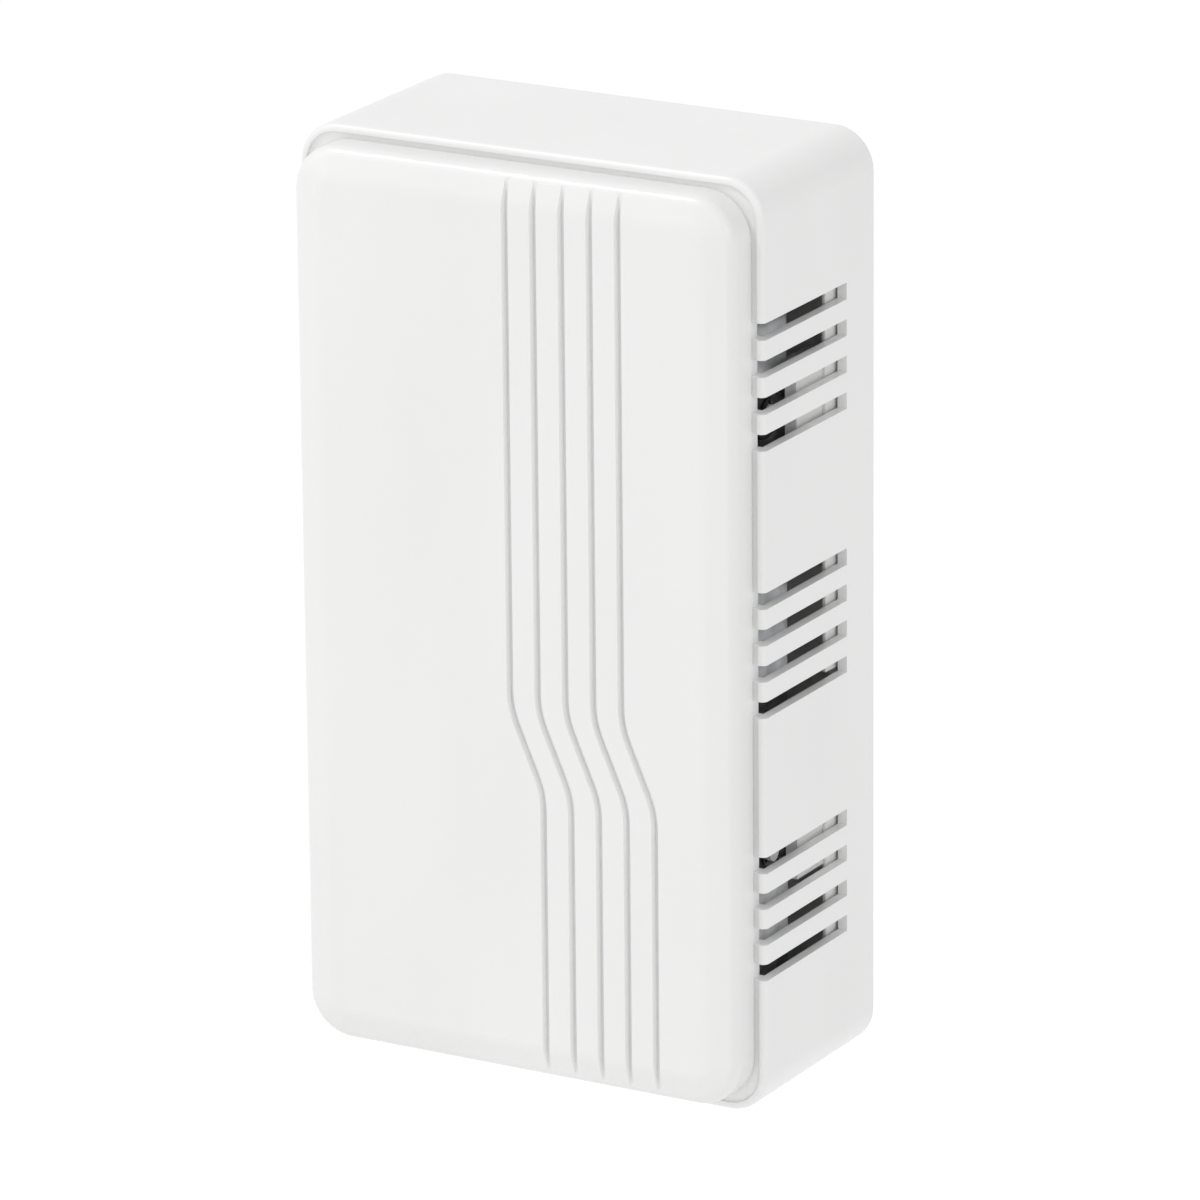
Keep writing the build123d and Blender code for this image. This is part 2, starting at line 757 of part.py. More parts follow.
def make_return_spring():
    """Open coil spring; its ends lie against the washer and the yoke."""
    start_x = washer_right_x + spring_wire_radius + spring_end_gap
    end_x = -yoke_outer_x - spring_wire_radius - spring_end_gap
    pitch = (end_x - start_x) / spring_turns
    turns = [step / spring_arcs_per_turn for step in range(spring_turns * spring_arcs_per_turn + 1)]
    points = [spring_point(turn, start_x, pitch) for turn in turns]
    directions = [spring_direction(turn, pitch) for turn in turns]
    end_length = 2 * spring_wire_radius
    pieces = [Line(points[0] - directions[0] * end_length, points[0])]
    for number in range(len(turns) - 1):
        pieces += biarc(points[number], directions[number],
                        points[number + 1], directions[number + 1])
    pieces.append(Line(points[-1], points[-1] + directions[-1] * end_length))
    path = Wire(pieces)
    samples = [path @ (step / spring_samples) for step in range(spring_samples + 1)]
    gap = least_gap(samples, spring_samples // (2 * spring_turns))
    print("return spring: least gap between turns", round(gap, 2))
    start = Plane(origin=path @ 0, z_dir=path % 0)
    return sweep(start * RegularPolygon(spring_wire_radius, spring_sides), path=path)


# Terminals and leads


def terminal_places():
    """Positions of the two terminals."""
    return [side * terminal_half_pitch for side in sides]


def make_terminal_block():
    """Two-way block with an open pocket and wire holes for each terminal."""
    body = block(-block_half_width, block_half_width, base_thickness, block_front,
                 block_low_z, block_top_z)
    body = fillet(front_edges(body), block_edge_fillet)
    for x in terminal_places():
        body -= block(x - pocket_half_width, x + pocket_half_width,
                      base_thickness + pocket_floor, block_front + overrun,
                      block_z - pocket_half_height, block_z + pocket_half_height)
        body -= height_rod(x, clamp_bore_depth, wire_hole_radius,
                           block_low_z - overrun, block_top_z + overrun)
    pad_clear = block_pad_radius + block_pad_clearance
    body -= depth_rod(0, block_z, pad_clear, base_thickness - overrun,
                      base_thickness + block_pad_height + block_pad_clearance)
    body -= depth_rod(0, block_z, screw_radius + screw_clearance, base_thickness,
                      block_front + overrun)
    return body


def make_terminal_clamps():
    """Brass cages with a wire bore and a threaded hole."""
    clamps = []
    for x in terminal_places():
        half = pocket_half_width - clamp_clearance
        half_high = pocket_half_height - clamp_clearance
        cage = block(x - half, x + half, clamp_back, clamp_front,
                     block_z - half_high, block_z + half_high)
        cage -= height_rod(x, clamp_bore_depth, clamp_bore_radius,
                           block_z - half_high - overrun, block_z + half_high + overrun)
        clamps.append(cage - depth_rod(x, block_z, terminal_screw_radius + terminal_screw_clearance,
                                       clamp_bore_depth, clamp_front + overrun))
    return clamps


def make_terminal_screws():
    """Slotted screws that press the leads in their cages."""
    screws = []
    for x in terminal_places():
        point = lead_depth + lead_radius + lead_seat_gap
        head_back = clamp_front + terminal_screw_clearance
        head_front = head_back + terminal_head_height
        screw = depth_rod(x, block_z, terminal_head_radius, head_back, head_front)
        screw += depth_rod(x, block_z, terminal_screw_radius, point, head_back)
        screws.append(screw - block(x - slot_width / 2, x + slot_width / 2,
                                    head_front - slot_cut_depth, head_front + overrun,
                                    block_z - terminal_head_radius - overrun,
                                    block_z + terminal_head_radius + overrun))
    return screws


def make_block_screw():
    """Screw between the terminals that holds the block on its pad."""
    return pan_screw(0, block_z, block_front, screw_point_depth + overrun)


def make_coil_lead(side):
    """Insulated lead from a solder pin into its terminal cage, with rounded bends."""
    drop = block_top_z - pin_end_z
    route = [
        Vector(side * pin_x(), -pin_depth(), pin_end_z),
        Vector(side * pin_x(), -pin_depth(), pin_end_z + drop * lead_drop_share),
        Vector(side * terminal_half_pitch, -lead_depth, pin_end_z + drop * lead_turn_share),
        Vector(side * terminal_half_pitch, -lead_depth, block_top_z - lead_in_block),
    ]
    runs = [after - before for before, after in zip(route, route[1:])]
    radii = []
    for before, after in zip(runs, runs[1:]):
        half_turn = math.radians(before.get_angle(after) / 2)
        shorter = min(before.length, after.length)
        radii.append(lead_bend_share * shorter / math.tan(half_turn))
    print("coil lead: bend radii", [round(radius, 1) for radius in radii])
    path = FilletPolyline(*route, radius=radii)
    start = Plane(origin=path @ 0, z_dir=path % 0)
    return sweep(start * RegularPolygon(lead_radius, lead_sides), path=path)


def make_parts():
    """Every node of the chime by name."""
    low_heights = hanger_heights(low_plate_length)
    high_heights = hanger_heights(high_plate_length)
    return {
        "housing_cover": make_housing_cover(),
        "front_panel": make_front_panel(),
        "panel_clips": make_panel_clips(),
        "base_plate": make_base_plate(),
        "cable_seal": make_cable_seal(),
        "tone_plate_low": make_tone_plate(-1, low_plate_length),
        "tone_plate_high": make_tone_plate(1, high_plate_length),
        "grommet_low_bottom": make_grommet(-1, low_heights[0]),
        "grommet_low_top": make_grommet(-1, low_heights[1]),
        "grommet_high_bottom": make_grommet(1, high_heights[0]),
        "grommet_high_top": make_grommet(1, high_heights[1]),
        "peg_clips": make_peg_clips(),
        "coil_bobbin": make_coil_bobbin(),
        "coil_winding": make_coil_winding(),
        "coil_tape": make_coil_tape(),
        "coil_pins": make_coil_pins(),
        "guide_tube": make_guide_tube(),
        "solenoid_yoke": make_solenoid_yoke(),
        "yoke_screws": make_yoke_screws(),
        "plunger_core": make_plunger_core(),
        "striker_left": make_striker(-1, core_left_x, left_tip_x),
        "striker_right": make_striker(1, core_right_x, right_tip_x),
        "spring_washer": make_spring_washer(),
        "return_spring": make_return_spring(),
        "terminal_block": make_terminal_block(),
        "terminal_clamps": make_terminal_clamps(),
        "terminal_screws": make_terminal_screws(),
        "block_screw": make_block_screw(),
        "coil_lead_left": make_coil_lead(-1),
        "coil_lead_right": make_coil_lead(1),
    }


os.makedirs("parts", exist_ok=True)
for name, shape in make_parts().items():
    solids = shape if isinstance(shape, list) else shape.solids()
    compound = Compound(children=[solid for piece in solids for solid in piece.solids()])
    compound.label = name
    export_step(compound, f"parts/{name}.step")
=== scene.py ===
import math

import bmesh
import bpy
from bpy.props import FloatProperty, FloatVectorProperty, IntProperty, PointerProperty
from bpy.types import Operator, Panel, PropertyGroup
from mathutils import Matrix, Vector


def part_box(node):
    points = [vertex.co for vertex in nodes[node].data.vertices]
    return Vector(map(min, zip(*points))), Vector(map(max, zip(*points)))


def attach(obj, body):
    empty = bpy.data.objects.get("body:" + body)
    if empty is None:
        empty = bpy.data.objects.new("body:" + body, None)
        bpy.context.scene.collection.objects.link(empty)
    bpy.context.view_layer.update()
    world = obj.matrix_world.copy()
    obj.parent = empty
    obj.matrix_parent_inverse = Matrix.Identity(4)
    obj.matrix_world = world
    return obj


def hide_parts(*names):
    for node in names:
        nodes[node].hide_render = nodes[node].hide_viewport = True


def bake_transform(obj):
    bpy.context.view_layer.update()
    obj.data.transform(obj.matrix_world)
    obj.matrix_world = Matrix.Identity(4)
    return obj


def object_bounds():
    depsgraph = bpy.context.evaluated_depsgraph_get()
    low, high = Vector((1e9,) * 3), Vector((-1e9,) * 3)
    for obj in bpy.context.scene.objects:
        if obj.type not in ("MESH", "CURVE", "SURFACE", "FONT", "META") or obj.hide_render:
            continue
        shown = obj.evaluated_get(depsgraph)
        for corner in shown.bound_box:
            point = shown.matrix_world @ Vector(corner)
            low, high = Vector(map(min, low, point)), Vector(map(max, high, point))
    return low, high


bl_info = {
    "name": "Doorbell chime box",
    "version": (1, 0, 0),
    "blender": (4, 5, 0),
    "location": "3D View > Sidebar > Chime",
    "description": "Dresses the moulded chime box: finishes, wound pieces and its studio",
    "category": "Object",
}

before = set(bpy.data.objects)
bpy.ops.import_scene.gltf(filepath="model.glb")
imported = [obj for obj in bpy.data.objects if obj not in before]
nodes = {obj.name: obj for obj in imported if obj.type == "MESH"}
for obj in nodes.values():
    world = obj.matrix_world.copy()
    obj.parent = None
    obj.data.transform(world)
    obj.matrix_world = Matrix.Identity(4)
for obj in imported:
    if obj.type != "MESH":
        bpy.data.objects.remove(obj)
cad_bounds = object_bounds()

SIDEBAR_TAB = "Chime"
FULL_TURN = 2 * math.pi
SIDES = ("left", "right")
X_AXIS = Vector((1, 0, 0))
Y_AXIS = Vector((0, 1, 0))
WELD_DISTANCE = 2e-6
SHARP_ANGLE = math.radians(38)
BEVEL_ANGLE = math.radians(35)
BEVEL_SEGMENTS = 3
STRIKER_SEGMENTS = 5
TURNING_STEPS = 96
BEND_STEPS = 14
SPRING_QUARTERS = (0.3,) * 3 + (0.65,) + (1,) * 12 + (0.65,) + (0.3,) * 3
WINDING_BUILD = 0.0048
TAPE_BUILD = 0.0005
TAPE_FILM = 0.00007
TAPE_SIDE_GAP = 0.00007
LEAD_ROUTE = ((0.01625, -0.0245, -0.0165), (0.01625, -0.0245, -0.024885),
              (0.0066, -0.0067, -0.03155), (0.0066, -0.0067, -0.0412))
LEAD_BENDS = (0.0052, 0.0060)
LEAD_RADIUS = 0.0006
LEAD_STRIP = 0.0011
CONDUCTOR_RADIUS = 0.00028
CONDUCTOR_SIDES = 12
SOLDER_RADIUS = 0.0007
SOLDER_STRETCH = (1, 1, 1.25, 1)
VENT_GROUPS = ((0.0370, 0.0630), (-0.0120, 0.0115), (-0.0655, -0.0395))
RIB_MIDDLE = 0.0459
RIB_FOOT_DEPTH = 0.0020
RIB_THICKNESS = 0.00096
RIB_DRAFT = (0.88, 1, 0.97)
HANGERS = ("grommet_low_bottom", "grommet_low_top", "grommet_high_bottom", "grommet_high_top")
OVERHEAD_PLACE = (-2.20, -1.58, 3.94)
LEFT_PLACE = (-3.36, -2.88, 1.82)
FILL_PLACE = (3.90, -2.50, 1.30)
CAMERA_REACH = 100
FLOOR_RADIUS = 9.0
FLOOR_SIDES = 96
FLOOR_COLOUR = (0.93, 0.93, 0.93)
FLOOR_LIFT = 0.28


class ChimePlastics(PropertyGroup):
    """Moulded plastic of the case, the panel, the base and the small parts."""

    case_colour: FloatVectorProperty(
        name="Case", description="White of the vented cover", subtype="COLOR",
        size=3, min=0, max=1, default=(0.848, 0.849, 0.844))
    panel_colour: FloatVectorProperty(
        name="Panel", description="White of the grooved front panel", subtype="COLOR",
        size=3, min=0, max=1, default=(0.835, 0.835, 0.830))
    # Painted light: the base's own white, set lighter than the case's so the shaded inside seen
    # through the vents reads brighter.
    base_colour: FloatVectorProperty(
        name="Base", description="White of the base plate", subtype="COLOR",
        size=3, min=0, max=1, default=(0.920, 0.920, 0.912))
    roughness: FloatProperty(
        name="Roughness", description="Satin of the moulded plastic",
        min=0, max=1, default=0.33)
    grain_width: FloatProperty(
        name="Grain width", description="Width of the fine mould grain",
        unit="LENGTH", subtype="DISTANCE", min=0.0001, default=0.00045)
    grain_depth: FloatProperty(
        name="Grain depth", description="Depth of the fine mould grain",
        unit="LENGTH", subtype="DISTANCE", min=0, default=0.000006)
    edge_radius: FloatProperty(
        name="Edge radius", description="Rounding that the mould leaves on sharp edges",
        unit="LENGTH", subtype="DISTANCE", min=0, default=0.00022)
    rib_height: FloatProperty(
        name="Vent ribs", description="Height of the ribs behind the vents",
        unit="LENGTH", subtype="DISTANCE", min=0.001, default=0.0124)
    rubber_edge: FloatProperty(
        name="Rubber edge", description="Rounding of the grommets' and the seal's edges",
        unit="LENGTH", subtype="DISTANCE", min=0, default=0.00030)
    striker_edge: FloatProperty(
        name="Striker edge", description="Rounding of the strikers' noses",
        unit="LENGTH", subtype="DISTANCE", min=0, default=0.00060)
    bobbin_colour: FloatVectorProperty(
        name="Bobbin", description="Black of the coil's bobbin", subtype="COLOR",
        size=3, min=0, max=1, default=(0.018, 0.018, 0.020))
    terminal_colour: FloatVectorProperty(
        name="Terminal block", description="Grey of the terminal block", subtype="COLOR",
        size=3, min=0, max=1, default=(0.10, 0.105, 0.11))
    nylon_colour: FloatVectorProperty(
        name="Strikers", description="Natural nylon of the strikers", subtype="COLOR",
        size=3, min=0, max=1, default=(0.72, 0.67, 0.54))
    rubber_colour: FloatVectorProperty(
        name="Rubber", description="Black rubber of the grommets and the seal", subtype="COLOR",
        size=3, min=0, max=1, default=(0.016, 0.016, 0.017))
    lead_colour: FloatVectorProperty(
        name="Leads", description="Red insulation of the coil's leads", subtype="COLOR",
        size=3, min=0, max=1, default=(0.55, 0.020, 0.016))
    tape_colour: FloatVectorProperty(
        name="Tape", description="Amber film tape round the winding", subtype="COLOR",
        size=3, min=0, max=1, default=(0.83, 0.47, 0.045))
    tape_cover: FloatProperty(
        name="Tape cover", description="Share of the winding's light that the tape holds back",
        min=0, max=1, default=0.72)


class ChimeMetals(PropertyGroup):
    """Plated steel, brass and copper of the mechanism."""

    zinc_colour: FloatVectorProperty(
        name="Zinc plate", description="Grey of the plated steel", subtype="COLOR",
        size=3, min=0, max=1, default=(0.50, 0.51, 0.52))
    screw_colour: FloatVectorProperty(
        name="Screws", description="Bright plating of the screws", subtype="COLOR",
        size=3, min=0, max=1, default=(0.60, 0.61, 0.62))
    spring_colour: FloatVectorProperty(
        name="Spring", description="Drawn steel of the return spring", subtype="COLOR",
        size=3, min=0, max=1, default=(0.46, 0.46, 0.47))
    black_steel_colour: FloatVectorProperty(
        name="Clips", description="Blackened steel of the push-on clips", subtype="COLOR",
        size=3, min=0, max=1, default=(0.05, 0.05, 0.055))
    brass_colour: FloatVectorProperty(
        name="Brass", description="Brass of the guide tube, cages and pins", subtype="COLOR",
        size=3, min=0, max=1, default=(0.62, 0.42, 0.16))
    copper_colour: FloatVectorProperty(
        name="Winding", description="Enamelled copper wire", subtype="COLOR",
        size=3, min=0, max=1, default=(0.56, 0.19, 0.07))
    solder_colour: FloatVectorProperty(
        name="Solder", description="Tin solder on the coil's pins", subtype="COLOR",
        size=3, min=0, max=1, default=(0.62, 0.62, 0.60))
    wire_diameter: FloatProperty(
        name="Wire", description="Diameter of the coil's enamelled wire",
        unit="LENGTH", subtype="DISTANCE", min=0.0001, default=0.00036)
    spring_wire: FloatProperty(
        name="Spring wire", description="Diameter of the return spring's wire",
        unit="LENGTH", subtype="DISTANCE", min=0.0001, default=0.0007)
    edge_radius: FloatProperty(
        name="Edge radius", description="Rounding of blanked and plated edges",
        unit="LENGTH", subtype="DISTANCE", min=0, default=0.00018)
    thin_edge: FloatProperty(
        name="Thin edge", description="Rounding of the edges of thin brass and clips",
        unit="LENGTH", subtype="DISTANCE", min=0, default=0.00008)


class ChimeStudio(PropertyGroup):
    """Camera, lamps and floor."""

    azimuth: FloatProperty(
        name="Azimuth", description="Camera's turn to the right of the panel's front",
        unit="ROTATION", subtype="ANGLE", default=0.51805)
    elevation: FloatProperty(
        name="Elevation", description="Camera's height above the horizon",
        unit="ROTATION", subtype="ANGLE", default=0.30750)
    roll: FloatProperty(
        name="Roll", description="Camera's tilt about its own axis",
        unit="ROTATION", subtype="ANGLE", default=-0.00929)
    distance: FloatProperty(
        name="Distance", description="Distance from the camera to the aim point",
        unit="LENGTH", subtype="DISTANCE", min=0.1, default=1.700)
    aim_side: FloatProperty(
        name="Aim sideways", description="Aim point's distance to the right of the case's middle",
        unit="LENGTH", subtype="DISTANCE", default=-0.00884)
    aim_height: FloatProperty(
        name="Aim height", description="Aim point's height above the case's middle",
        unit="LENGTH", subtype="DISTANCE", default=-0.00829)
    lens: FloatProperty(
        name="Lens", description="Focal length in millimetres", min=10, default=268.4)
    ambient: FloatProperty(
        name="Ambient", description="Strength of the even light from all round",
        min=0, default=0.70)
    overhead_power: FloatProperty(
        name="Overhead lamp", description="Power of the lamp above the upper left of the panel",
        unit="POWER", min=0, default=52.0)
    left_power: FloatProperty(
        name="Left lamp", description="Power of the large soft lamp at the left",
        unit="POWER", min=0, default=32.0)
    fill_power: FloatProperty(
        name="Fill lamp", description="Power of the soft lamp at the right",
        unit="POWER", min=0, default=36.0)
    floor_drop: FloatProperty(
        name="Floor drop", description="Distance from the chime's lower end to the floor",
        unit="LENGTH", subtype="DISTANCE", min=0, default=0.80)


def new_material(name):
    """Empty node material with a Principled shader; returns it, its tree and the shader."""
    material = bpy.data.materials.new(name)
    material.use_nodes = True
    tree = material.node_tree
    tree.nodes.clear()
    output = tree.nodes.new("ShaderNodeOutputMaterial")
    shader = tree.nodes.new("ShaderNodeBsdfPrincipled")
    tree.links.new(shader.outputs["BSDF"], output.inputs["Surface"])
    return material, tree, shader


def place(tree, scale=(1, 1, 1)):
    """Object coordinates, stretched by a Mapping node."""
    coordinates = tree.nodes.new("ShaderNodeTexCoord")
    mapping = tree.nodes.new("ShaderNodeMapping")
    mapping.inputs["Scale"].default_value = scale
    tree.links.new(coordinates.outputs["Object"], mapping.inputs["Vector"])
    return mapping.outputs["Vector"]


def noise(tree, vector, width, detail=2.0):
    """Noise whose blotches are about this wide, in metres."""
    texture = tree.nodes.new("ShaderNodeTexNoise")
    texture.inputs["Scale"].default_value = 1 / width
    texture.inputs["Detail"].default_value = detail
    tree.links.new(vector, texture.inputs["Vector"])
    return texture.outputs["Fac"]


def spread(tree, factor, low, high):
    """Turns noise into values from low to high."""
    span = tree.nodes.new("ShaderNodeMapRange")
    span.inputs["From Min"].default_value = 0.3
    span.inputs["From Max"].default_value = 0.7
    span.inputs["To Min"].default_value = low
    span.inputs["To Max"].default_value = high
    tree.links.new(factor, span.inputs["Value"])
    return span.outputs["Result"]


def shade(tree, factor, colour, low, high):
    """The colour, made darker and lighter between two shares of itself."""
    mix = tree.nodes.new("ShaderNodeMix")
    mix.data_type = "RGBA"
    mix.inputs["A"].default_value = (*[channel * low for channel in colour], 1)
    mix.inputs["B"].default_value = (*[min(1, channel * high) for channel in colour], 1)
    tree.links.new(spread(tree, factor, low=0, high=1), mix.inputs["Factor"])
    return mix.outputs["Result"]


def bump(tree, shader, height, depth):
    """Raises the surface by the height pattern, as deep as given in metres."""
    node = tree.nodes.new("ShaderNodeBump")
    node.inputs["Strength"].default_value = 1.0
    node.inputs["Distance"].default_value = depth
    tree.links.new(height, node.inputs["Height"])
    tree.links.new(node.outputs["Normal"], shader.inputs["Normal"])


def moulded_plastic(name, colour, sizes, roughness):
    """Satin moulded plastic: fine spark-eroded grain over very slow flow marks."""
    material, tree, shader = new_material(name)
    grain = noise(tree, place(tree), sizes.grain_width, detail=3.0)
    flow = noise(tree, place(tree, scale=(1, 1, 0.4)), width=0.03)
    tree.links.new(shade(tree, flow, colour, low=0.985, high=1.01), shader.inputs["Base Color"])
    tree.links.new(spread(tree, grain, roughness - 0.04, roughness + 0.04),
                   shader.inputs["Roughness"])
    shader.inputs["IOR"].default_value = 1.5
    bump(tree, shader, grain, sizes.grain_depth)
    return material


def plated_steel(name, colour, roughness):
    """Zinc plating: cloudy tone and fine rolling marks along the plate."""
    material, tree, shader = new_material(name)
    cloud = noise(tree, place(tree), width=0.004, detail=4.0)
    rolled = noise(tree, place(tree, scale=(1, 1, 0.06)), width=0.00025)
    tree.links.new(shade(tree, cloud, colour, low=0.78, high=1.18), shader.inputs["Base Color"])
    tree.links.new(spread(tree, rolled, roughness - 0.07, roughness + 0.07),
                   shader.inputs["Roughness"])
    shader.inputs["Metallic"].default_value = 1.0
    bump(tree, shader, rolled, depth=0.000004)
    return material


def bare_metal(name, colour, roughness):
    """Turned or drawn metal with a little tarnish."""
    material, tree, shader = new_material(name)
    tarnish = noise(tree, place(tree), width=0.0025, detail=4.0)
    lines = noise(tree, place(tree, scale=(0.08, 1, 1)), width=0.0003)
    tree.links.new(shade(tree, tarnish, colour, low=0.8, high=1.12), shader.inputs["Base Color"])
    tree.links.new(spread(tree, lines, roughness - 0.06, roughness + 0.08),
                   shader.inputs["Roughness"])
    shader.inputs["Metallic"].default_value = 1.0
    bump(tree, shader, lines, depth=0.000003)
    return material


def black_rubber(name, colour):
    """Soft black rubber with a dusty bloom."""
    material, tree, shader = new_material(name)
    bloom = noise(tree, place(tree), width=0.0018, detail=5.0)
    grain = noise(tree, place(tree), width=0.00025)
    tree.links.new(shade(tree, bloom, colour, low=0.7, high=1.9), shader.inputs["Base Color"])
    tree.links.new(spread(tree, grain, low=0.55, high=0.75), shader.inputs["Roughness"])
    bump(tree, shader, grain, depth=0.000012)
    return material


def film_tape(name, colour, cover):
    """Amber polyester film: glossy, a little see-through, with fine drawn streaks."""
    material, tree, shader = new_material(name)
    streaks = noise(tree, place(tree, scale=(1, 0.04, 0.04)), width=0.00022)
    tree.links.new(shade(tree, streaks, colour, low=0.95, high=1.03), shader.inputs["Base Color"])
    shader.inputs["Roughness"].default_value = 0.22
    shader.inputs["Alpha"].default_value = cover
    bump(tree, shader, streaks, depth=0.000006)
    return material


def soft_insulation(name, colour):
    """Smooth PVC insulation with a slight wave from its extruder."""
    material, tree, shader = new_material(name)
    wave = noise(tree, place(tree), width=0.0012)
    tree.links.new(shade(tree, wave, colour, low=0.9, high=1.08), shader.inputs["Base Color"])
    shader.inputs["Roughness"].default_value = 0.33
    bump(tree, shader, wave, depth=0.00001)
    return material


def dress(name, material, edge_radius, segments=BEVEL_SEGMENTS):
    """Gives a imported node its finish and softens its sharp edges."""
    node = nodes[name]
    node.data.materials.clear()
    node.data.materials.append(material)
    weld = node.modifiers.new("Joined faces", "WELD")
    weld.merge_threshold = WELD_DISTANCE
    bevel = node.modifiers.new("Soft edges", "BEVEL")
    bevel.width = edge_radius
    bevel.segments = segments
    bevel.limit_method = "ANGLE"
    bevel.angle_limit = BEVEL_ANGLE
    bevel.use_clamp_overlap = True
    normals = node.modifiers.new("Even shading", "WEIGHTED_NORMAL")
    normals.keep_sharp = False


def new_piece(name, bm, material, node=None):
    """Makes a piece of a finished shape, with its finish, in place of a node if one is named."""
    bmesh.ops.remove_doubles(bm, verts=bm.verts, dist=WELD_DISTANCE)
    bmesh.ops.recalc_face_normals(bm, faces=bm.faces)
    mesh = bpy.data.meshes.new(name)
    bm.to_mesh(mesh)
    bm.free()
    mesh.shade_smooth()
    mesh.set_sharp_from_angle(angle=SHARP_ANGLE)
    mesh.materials.append(material)
    piece = bpy.data.objects.new(name, mesh)
    bpy.context.scene.collection.objects.link(piece)
    if node:
        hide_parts(node)
    return piece


def axis_of(node):
    """Left end, length and outer radius of a round node that lies across the case."""
    low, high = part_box(node)
    middle = (low + high) / 2
    return Vector((low.x, middle.y, middle.z)), high.x - low.x, (high.z - low.z) / 2


def wire_section(bm, radius, sides, centre, direction):
    """Round cross section of a wire, square to its direction."""
    turn = direction.to_track_quat("Z", "Y").to_matrix().to_4x4()
    circle = bmesh.ops.create_circle(bm, cap_ends=False, segments=sides, radius=radius,
                                     matrix=Matrix.Translation(centre) @ turn)
    edges = {edge for vert in circle["verts"] for edge in vert.link_edges}
    return circle["verts"] + list(edges)


def wind(bm, section, centre, angle, steps, pitch):
    """Winds a section about the solenoid's axis; pitch is its travel in a full turn."""
    travel = X_AXIS * pitch * angle / FULL_TURN / steps
    return bmesh.ops.spin(bm, geom=section, cent=centre, axis=X_AXIS, dvec=travel,
                          angle=angle, steps=steps, use_merge=False)["geom_last"]


def close_ends(bm):
    """Caps the open ends of a wire or tube."""
    bmesh.ops.edgeloop_fill(bm, edges=[edge for edge in bm.edges if edge.is_boundary])


def turned_ring(bm, outline, centre, angle=FULL_TURN):
    """Turns a closed outline of (along, radius) points about a line across the case."""
    corners = [bm.verts.new(centre + Vector((along, 0, radius))) for along, radius in outline]
    sides = [bm.edges.new(pair) for pair in zip(corners, corners[1:] + corners[:1])]
    bmesh.ops.spin(bm, geom=corners + sides, cent=centre, axis=X_AXIS, dvec=(0, 0, 0),
                   angle=angle, steps=TURNING_STEPS, use_merge=angle == FULL_TURN)


def pull(bm, section, travel):
    """Draws a section straight on and returns its far end."""
    edges = [item for item in section if isinstance(item, bmesh.types.BMEdge)]
    drawn = bmesh.ops.extrude_edge_only(bm, edges=edges)["geom"]
    verts = [item for item in drawn if isinstance(item, bmesh.types.BMVert)]
    bmesh.ops.translate(bm, verts=verts, vec=travel)
    far = set(verts)
    return verts + [edge for edge in drawn if isinstance(edge, bmesh.types.BMEdge)
                    and set(edge.verts) <= far]


def draw_tube(bm, radius, sides, route, bends):
    """Round tube along straight runs that join in arcs."""
    place_now = route[0]
    section = wire_section(bm, radius, sides, place_now, route[1] - route[0])
    for corner, after, bend in zip(route[1:-1], route[2:], bends):
        run = (corner - place_now).normalized()
        next_run = (after - corner).normalized()
        turn = run.angle(next_run)
        reach = bend * math.tan(turn / 2)
        arc_start = corner - run * reach
        section = pull(bm, section, arc_start - place_now)
        axis = run.cross(next_run).normalized()
        section = bmesh.ops.spin(bm, geom=section, cent=arc_start + axis.cross(run) * bend,
                                 axis=axis, dvec=(0, 0, 0), angle=turn, steps=BEND_STEPS,
                                 use_merge=False)["geom_last"]
        place_now = corner + next_run * reach
    pull(bm, section, route[-1] - place_now)


class CHIME_OT_case(Operator):
    """Finish the cover, the panel and the base plate"""

    bl_idname = "chime.case"
    bl_label = "Case, panel and base"

    def execute(self, context):
        sizes = context.scene.chime_plastics
        edge = sizes.edge_radius
        case = moulded_plastic("case_white", sizes.case_colour, sizes, sizes.roughness)
        panel = moulded_plastic("panel_white", sizes.panel_colour, sizes, sizes.roughness)
        # Painted light: the base and its ribs get a white lighter than the case's, to brighten the
        # shaded inside seen through the vents.
        base = moulded_plastic("base_white", sizes.base_colour, sizes, sizes.roughness)
        dress("housing_cover", case, edge)
        dress("front_panel", panel, edge)
        dress("base_plate", base, edge)
        return {"FINISHED"}


class CHIME_OT_ribs(Operator):
    """Raise the white ribs of the base behind each group of vents"""

    bl_idname = "chime.ribs"
    bl_label = "Vent ribs"

    def execute(self, context):
        sizes = context.scene.chime_plastics
        bm = bmesh.new()
        for side in (-1, 1):
            for low, high in VENT_GROUPS:
                foot = Vector((side * RIB_MIDDLE, -RIB_FOOT_DEPTH, (low + high) / 2))
                self.raise_rib(bm, foot, high - low, sizes.rib_height)
        bmesh.ops.bevel(bm, geom=list(bm.edges), offset=sizes.edge_radius, offset_type="OFFSET",
                        segments=BEVEL_SEGMENTS, profile=0.5, affect="EDGES", clamp_overlap=True,
                        material=-1)
        ribs = new_piece("vent_ribs", bm, bpy.data.materials["base_white"])
        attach(ribs, "base")
        return {"FINISHED"}

    def raise_rib(self, bm, foot, length, height):
        """One upright rib, with a moulding's draft on its sides and ends."""
        facing_room = Matrix.Rotation(FULL_TURN / 4, 4, "X")
        outline = Matrix.Diagonal((RIB_THICKNESS, length, 1, 1))
        corners = bmesh.ops.create_grid(bm, x_segments=1, y_segments=1, size=0.5,
                                        matrix=Matrix.Translation(foot) @ facing_room @ outline)
        foot_face = corners["verts"][0].link_faces[:]
        raised = bmesh.ops.extrude_face_region(bm, geom=foot_face)["geom"]
        front = [item for item in raised if isinstance(item, bmesh.types.BMVert)]
        bmesh.ops.translate(bm, verts=front, vec=(0, -height, 0))
        bmesh.ops.scale(bm, verts=front, vec=RIB_DRAFT, space=Matrix.Translation(-foot))


